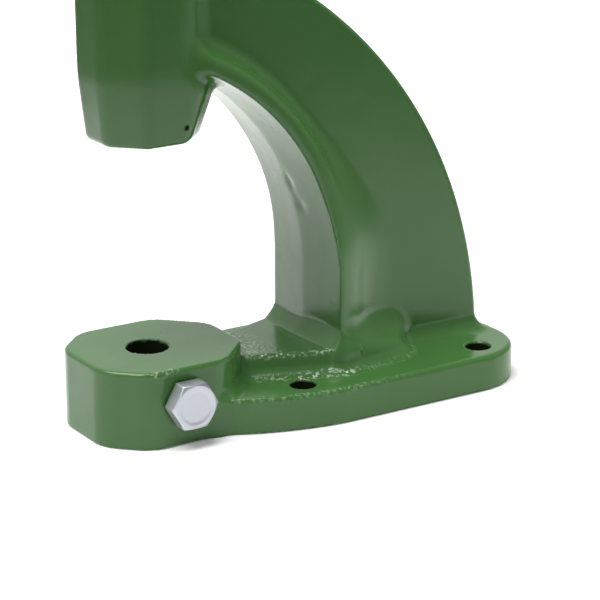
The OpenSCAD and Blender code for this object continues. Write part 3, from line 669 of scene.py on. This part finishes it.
def grit_and_glint(x, y, z):
    """How much loose sand grain shows, and so where pale specks are painted, partly as sand and
    partly as glints: the sum of bells round the rib's upper edges, the seam where rib and pad
    meet the flange, the upper edge of the flange's front, the rib's top beside the boss, and
    a stretch of the boss's upper front edge. Each bell is e to the power of minus the
    squared distance."""
    wide = np.abs(y)
    along = fade((x - 36) / 6) * (1 - fade((x - 68) / 6))
    rib_edge = np.exp(-((wide - rib_half(x)) ** 2 + (z - RIB_H + 0.3) ** 2) / 0.9) * along
    foot = np.minimum(base_rib(x, y, z), column_foot(x, y, z))
    seam = np.exp(-((foot - 2.7) / 1.4) ** 2) * np.exp(-((z - BASE_T - 0.3) / 1.2) ** 2)
    seam = seam * (0.5 * fade((x - 34) / 4) + 0.9 * fade((x - 48) / 5))
    seam = seam * (1 - 0.9 * fade((x - 68) / 12))
    rim = np.exp(-((base_plan(x, y) + 0.9) ** 2 + (z - BASE_T + 0.6) ** 2) / 1.1)
    rim = rim * (1 - fade((x - 60) / 40))
    top = np.exp(-((z - RIB_H) / 0.7) ** 2) * fade((x - 33) / 2) * (1 - fade((x - 38) / 16))
    boss = np.exp(-((y + HALF_BOSS - 0.9) ** 2 + (z - BOSS_H + 0.6) ** 2) / 1.1)
    boss = boss * fade((x + 21) / 3) * (1 - fade((x + 6) / 4))
    return rib_edge + seam + 0.32 * rim + 0.6 * top + 0.8 * boss


def bored(x, y, z):
    """1 on the walls of the die bore and the bench holes, just below their rims, else 0: where the
    bores are painted dark, partly as bare iron and partly as painted shade.
    """
    die = (np.hypot(x, y) < DIE_R + 0.3) & (z < BOSS_H - 0.5)
    bench = (bench_axis(x, y) < BENCH_R + 0.4) & (z < BASE_T - 0.8)
    return (die | bench) * 1.0


# Small blow holes left by the casting, which have no shape here and are drawn only as dark spots of
# painted shade: centre and radius in metres
BLOW_HOLES = [((0.0075, -0.0201, 0.1175), 0.0011), ((0.0345, -0.0045, 0.0294), 0.0013)]


def enamel(name, gritty):
    """Thick gloss machine enamel brushed over a rough sand casting. The paint rounds and
    pools over the sand grain, so the surface is glossy but never flat. Where it ran thin over
    loose grains, along edges and seams, the grains stand out as broken pale specks, which
    are partly pale sand and partly painted glints. A pattern's scale is the number of its
    features in a metre."""
    m, tree, shader, place = material(name)
    # patches of slightly thicker and thinner paint, about 45 mm across
    cloud = node(tree, "ShaderNodeTexNoise", Vector=place, Scale=22.0, Detail=3.0, Roughness=0.55)
    shade = node(tree, "ShaderNodeMix", COLOURS, Factor=cloud.outputs["Fac"],
                 _6=linear("#3c6630"), _7=linear("#436f38"))
    # brushing leaves the gloss uneven over about 17 mm
    gloss = node(tree, "ShaderNodeTexNoise", Vector=place, Scale=60.0, Detail=2.0)
    rough = node(tree, "ShaderNodeMapRange", Value=gloss.outputs["Fac"], To_Min=0.16, To_Max=0.26)
    tree.links.new(rough.outputs[0], shader.inputs["Roughness"])
    shader.inputs["IOR"].default_value = 1.46
    # sags of about 12 mm, and sand grain of about 1.5 mm softened by the paint
    sag = node(tree, "ShaderNodeTexNoise", Vector=place, Scale=85.0, Detail=2.0)
    grain = node(tree, "ShaderNodeTexNoise", Vector=place, Scale=650.0, Detail=3.0, Roughness=0.6)
    sags = node(tree, "ShaderNodeBump", Height=sag.outputs["Fac"], Strength=0.16, Distance=0.0012)
    surface = node(tree, "ShaderNodeBump", Height=grain.outputs["Fac"], Normal=sags.outputs[0],
                   Strength=0.07, Distance=0.0003)
    colour = shade.outputs[2]
    if gritty:
        # lumps of loose sand about 1.5 mm across, of which the tallest come through
        amount = node(tree, "ShaderNodeAttribute", {"attribute_name": "grit_and_glint"})
        lump = node(tree, "ShaderNodeTexNoise", Vector=place, Scale=640.0, Detail=2.0, Roughness=0.5)
        proud = node(tree, "ShaderNodeMapRange", Value=lump.outputs["Fac"],
                     From_Min=0.49, From_Max=0.61)
        grain_and_glint = node(tree, "ShaderNodeMath", MULTIPLY, _0=proud.outputs[0], _1=amount.outputs["Fac"])
        surface = node(tree, "ShaderNodeBump", Height=grain_and_glint.outputs[0], Normal=surface.outputs[0],
                       Strength=0.9, Distance=0.0006)
        # painted glint: the tallest lumps turn pale, partly as the sand's own colour and partly as
        # painted highlights along edges and seams
        pale = node(tree, "ShaderNodeMix", COLOURS, Factor=grain_and_glint.outputs[0], _6=colour,
                    _7=linear("#bcd0b2"))
        # painted shade: the bores are darkened, partly as bare iron and partly as the shade inside
        # them, and the blow holes are dark spots of painted shade
        shade_and_bare = node(tree, "ShaderNodeAttribute", {"attribute_name": "bored"}).outputs["Fac"]
        for centre, radius in BLOW_HOLES:
            away = node(tree, "ShaderNodeVectorMath", DISTANCE, _0=place, _1=centre)
            pit_shade = node(tree, "ShaderNodeMapRange", Value=away.outputs["Value"],
                          From_Min=radius * 0.7, From_Max=radius * 1.4, To_Min=1.0, To_Max=0.0)
            shade_and_bare = node(tree, "ShaderNodeMath", MAXIMUM, _0=shade_and_bare, _1=pit_shade.outputs[0]).outputs[0]
        bare_and_shaded = node(tree, "ShaderNodeMix", COLOURS, Factor=shade_and_bare, _6=pale.outputs[2],
                    _7=linear("#1c2417"))
        colour = bare_and_shaded.outputs[2]
        # painted skin keeps the shader's plain gloss of 0.5, and the darkened bores and blow holes lose
        # it
        sheen = node(tree, "ShaderNodeMath", MULTIPLY_ADD, _0=shade_and_bare, _1=-0.5, _2=0.5)
        tree.links.new(sheen.outputs[0], shader.inputs["Specular IOR Level"])
    tree.links.new(colour, shader.inputs["Base Color"])
    tree.links.new(surface.outputs[0], shader.inputs["Normal"])
    return m


def metal(name, colour, roughness, scale, depth=0.00006):
    """Metal whose fine scratches or plating grain vary its tone and roughness and bump a
    little. The scale is the number of grains in a metre. Real ones are finer than a tenth
    of a millimetre, and these are drawn coarse enough to show."""
    m, tree, shader, place = material(name)
    shader.inputs["Metallic"].default_value = 1.0
    bright = linear(colour)
    dull = tuple(c * 0.86 for c in bright[:3]) + (1,)
    grain = node(tree, "ShaderNodeTexNoise", Vector=place, Scale=scale, Detail=3.0)
    tint = node(tree, "ShaderNodeMix", COLOURS, Factor=grain.outputs["Fac"], _6=dull, _7=bright)
    tree.links.new(tint.outputs[2], shader.inputs["Base Color"])
    rough = node(tree, "ShaderNodeMapRange", Value=grain.outputs["Fac"],
                 To_Min=roughness * 0.8, To_Max=roughness * 1.2)
    tree.links.new(rough.outputs[0], shader.inputs["Roughness"])
    bump = node(tree, "ShaderNodeBump", Height=grain.outputs["Fac"], Strength=0.3, Distance=depth)
    tree.links.new(bump.outputs[0], shader.inputs["Normal"])
    return m


def moulding():
    """Black phenolic moulding, polished by use: deep gloss with faint hand marks, which
    are about 7 mm across."""
    m, tree, shader, place = material("black phenolic moulding")
    cloud = node(tree, "ShaderNodeTexNoise", Vector=place, Scale=140.0, Detail=4.0)
    shade = node(tree, "ShaderNodeMix", COLOURS, Factor=cloud.outputs["Fac"],
                 _6=linear("#151517"), _7=linear("#242426"))
    tree.links.new(shade.outputs[2], shader.inputs["Base Color"])
    rough = node(tree, "ShaderNodeMapRange", Value=cloud.outputs["Fac"], To_Min=0.18, To_Max=0.36)
    tree.links.new(rough.outputs[0], shader.inputs["Roughness"])
    return m


def coat(piece, look):
    """Gives a piece one finish in place of any that it has."""
    piece.data.materials.clear()
    piece.data.materials.append(look)


# the grit mask also says where the pale specks and their painted glints go
attribute_of(casting_piece, "grit_and_glint", grit_and_glint)
# the bored mask places the bores' painted shade and bare iron
attribute_of(casting_piece, "bored", bored)
# the same paint on the smoother castings, and on the frame with its sandy seams and their painted
# glints
green = enamel("green gloss enamel", False)
cast_green = enamel("green gloss enamel on sand casting", True)
finish = {
    "green_enamel": green,
    # zinc plate with clear passivation: bright, slightly blue, softly satin
    "zinc_plate": metal("bright zinc plate", "#cacdd4", 0.48, 260.0, 0.00003),
    # screw, ram and stem, ground and oiled: grey and even, with fairly sharp reflections
    "ground_steel": metal("ground steel", "#a9abae", 0.24, 500.0),
    # leaded bronze, turned: warm brown gold, softly bright
    "bronze": metal("turned bronze", "#b8924f", 0.30, 700.0),
    # black oxide on alloy steel screws: near black, with a dull metal sheen
    "black_oxide": metal("black oxide steel", "#3b3c3f", 0.42, 900.0),
    "black_plastic": moulding(),
}
slots = {part["node"]: part["material_slot"] for part in frame["record"]["subparts"]}
for name, shown in frame["nodes"].items():
    coat(shown, finish[slots[name]])
for piece, slot in dressed:
    coat(piece, finish[slot])
coat(casting_piece, cast_green)


# ---------------------------------------------------------------- floor, light and camera

def floor_sheet():
    """Flat square of 8 m on which the press stands. Reflections and bounced light see a
    white sheet round the press that ends on a grey bench, and the sheet is brightest
    behind and to the left. To the camera the white goes on."""
    half = 4.0
    mesh = bpy.data.meshes.new("floor")
    corners = [(-half, -half, 0), (half, -half, 0), (half, half, 0), (-half, half, 0)]
    mesh.from_pydata(corners, [], [(0, 1, 2, 3)])
    floor = bpy.data.objects.new("floor", mesh)
    scene.collection.objects.link(floor)
    m, tree, shader, place = material("white paper sweep")
    path = node(tree, "ShaderNodeLightPath")
    camera_ray, glossy = path.outputs["Is Camera Ray"], path.outputs["Is Glossy Ray"]
    middle = node(tree, "ShaderNodeVectorMath", DISTANCE, _0=place, _1=(0.06, 0.0, 0.0))
    # smooth steps over the distance in metres from the middle of the base: the bench beyond
    # the sheet, first as matt surfaces and then as reflections see it, the sheet's share in
    # reflections, and the glow that keeps the floor white to the camera
    matt_bench, glossy_bench, sheet, white = [
        node(tree, "ShaderNodeMapRange", SOFT_STEP, Value=middle.outputs["Value"], From_Min=near,
             From_Max=far, To_Min=at_near, To_Max=at_far).outputs[0]
        for near, far, at_near, at_far in ((0.15, 0.36, 0.0, 1.0), (0.28, 0.60, 0.0, 1.0),
                                           (0.28, 0.60, 1.0, 0.0), (0.35, 1.10, 0.12, 0.9))]
    hidden = node(tree, "ShaderNodeMath", {"operation": "SUBTRACT"}, _0=1.0, _1=camera_ray)
    beyond = node(tree, "ShaderNodeMix", NUMBERS, Factor=glossy, _2=matt_bench, _3=glossy_bench)
    bench = node(tree, "ShaderNodeMath", MULTIPLY, _0=beyond.outputs[0], _1=hidden.outputs[0])
    paper = node(tree, "ShaderNodeMix", COLOURS, Factor=bench.outputs[0],
                 _6=linear("#f2f2f2"), _7=linear("#767677"))
    tree.links.new(paper.outputs[2], shader.inputs["Base Color"])
    shader.inputs["Roughness"].default_value = 0.9
    shader.inputs["Specular IOR Level"].default_value = 0.1
    # how far a point lies behind and to the left: 0.8 y less 0.6 x
    axes = node(tree, "ShaderNodeSeparateXYZ", Vector=place)
    left = node(tree, "ShaderNodeMath", MULTIPLY, _0=axes.outputs["X"], _1=-0.6)
    behind = node(tree, "ShaderNodeMath", MULTIPLY_ADD, _0=axes.outputs["Y"], _1=0.8,
                  _2=left.outputs[0])
    bright = node(tree, "ShaderNodeMapRange", SOFT_STEP, Value=behind.outputs[0], From_Min=-0.08,
                  From_Max=0.08, To_Min=0.0, To_Max=0.38)
    share = node(tree, "ShaderNodeMath", MULTIPLY, _0=bright.outputs[0], _1=sheet)
    mirrored = node(tree, "ShaderNodeMath", MULTIPLY, _0=share.outputs[0], _1=glossy)
    seen = node(tree, "ShaderNodeMath", MULTIPLY, _0=white, _1=camera_ray)
    lift = node(tree, "ShaderNodeMath", {"operation": "ADD"}, _0=mirrored.outputs[0],
                _1=seen.outputs[0])
    glow = node(tree, "ShaderNodeEmission", Color=(1, 1, 1, 1), Strength=lift.outputs[0])
    total = node(tree, "ShaderNodeAddShader", _0=shader.outputs[0], _1=glow.outputs[0])
    tree.links.new(total.outputs[0], tree.nodes["Material Output"].inputs["Surface"])
    mesh.materials.append(m)


def lamp(name, place, aim, size, power, mirrored=True):
    """Square soft box at a place, turned to face the aim point. One that is not mirrored
    lights the press but shows no reflection in it."""
    light = bpy.data.lights.new(name, "AREA")
    light.shape, light.size, light.energy = "SQUARE", size, power
    box = bpy.data.objects.new(name, light)
    box.location = place
    box.rotation_mode = "QUATERNION"
    box.rotation_quaternion = (Vector(aim) - Vector(place)).to_track_quat("-Z", "Y")
    box.visible_glossy = mirrored
    scene.collection.objects.link(box)


def studio():
    """World: even low light on matt surfaces. Reflections see pale walls behind and to
    the left, and a darker room in front and to the right. The camera sees white."""
    world = bpy.data.worlds.new("studio")
    scene.world = world
    world.use_nodes = True
    tree = world.node_tree
    sky = tree.nodes["Background"]
    path = node(tree, "ShaderNodeLightPath")
    aim = node(tree, "ShaderNodeTexCoord").outputs["Generated"]
    # how far a direction points behind and to the left: 0.8 y less 0.6 x
    axes = node(tree, "ShaderNodeSeparateXYZ", Vector=aim)
    left = node(tree, "ShaderNodeMath", MULTIPLY, _0=axes.outputs["X"], _1=-0.6)
    wall = node(tree, "ShaderNodeMath", MULTIPLY_ADD, _0=axes.outputs["Y"], _1=0.8, _2=left.outputs[0])
    bright = node(tree, "ShaderNodeMapRange", SOFT_STEP, Value=wall.outputs[0], From_Min=-0.35,
                  From_Max=0.25, To_Min=0.25, To_Max=0.9)
    mirror = node(tree, "ShaderNodeMath", MAXIMUM, _0=path.outputs["Is Glossy Ray"],
                  _1=path.outputs["Is Transmission Ray"])
    seen = node(tree, "ShaderNodeMix", NUMBERS, Factor=mirror.outputs[0], _2=0.12, _3=bright.outputs[0])
    level = node(tree, "ShaderNodeMix", NUMBERS, Factor=path.outputs["Is Camera Ray"],
                 _2=seen.outputs[0], _3=1.0)
    tree.links.new(level.outputs[0], sky.inputs["Strength"])
    sky.inputs["Color"].default_value = (1, 1, 1, 1)


floor_sheet()
studio()
lamp("soft_box_overhead", (-0.36, 0.0, 1.34), (0.03, 0, 0.08), 1.0, 33)
lamp("soft_box_right", (1.5, 0.0, 0.65), (0.05, 0, 0.08), 1.4, 22, mirrored=False)

# The camera stands front left of the press and looks down on it by 18 degrees.
stand = (-0.4050, -0.7483, 0.3233)
yaw, pitch, roll = np.radians([32.30, 17.96, -0.18])
ahead = np.array([np.sin(yaw) * np.cos(pitch), np.cos(yaw) * np.cos(pitch), -np.sin(pitch)])
level = np.array([np.cos(yaw), -np.sin(yaw), 0.0])
above = np.cross(level, ahead)
right = level * np.cos(roll) + above * np.sin(roll)
up = above * np.cos(roll) - level * np.sin(roll)
camera = bpy.data.objects.new("camera", bpy.data.cameras.new("camera"))
camera.data.sensor_width = 36.0
camera.data.lens = 143.08
camera.data.clip_start, camera.data.clip_end = 0.05, 20.0
turn = Matrix(np.stack([right, up, -ahead], 1).tolist()).to_4x4()
camera.matrix_world = Matrix.Translation(stand) @ turn
scene.collection.objects.link(camera)
scene.camera = camera
scene.view_settings.view_transform = "Standard"
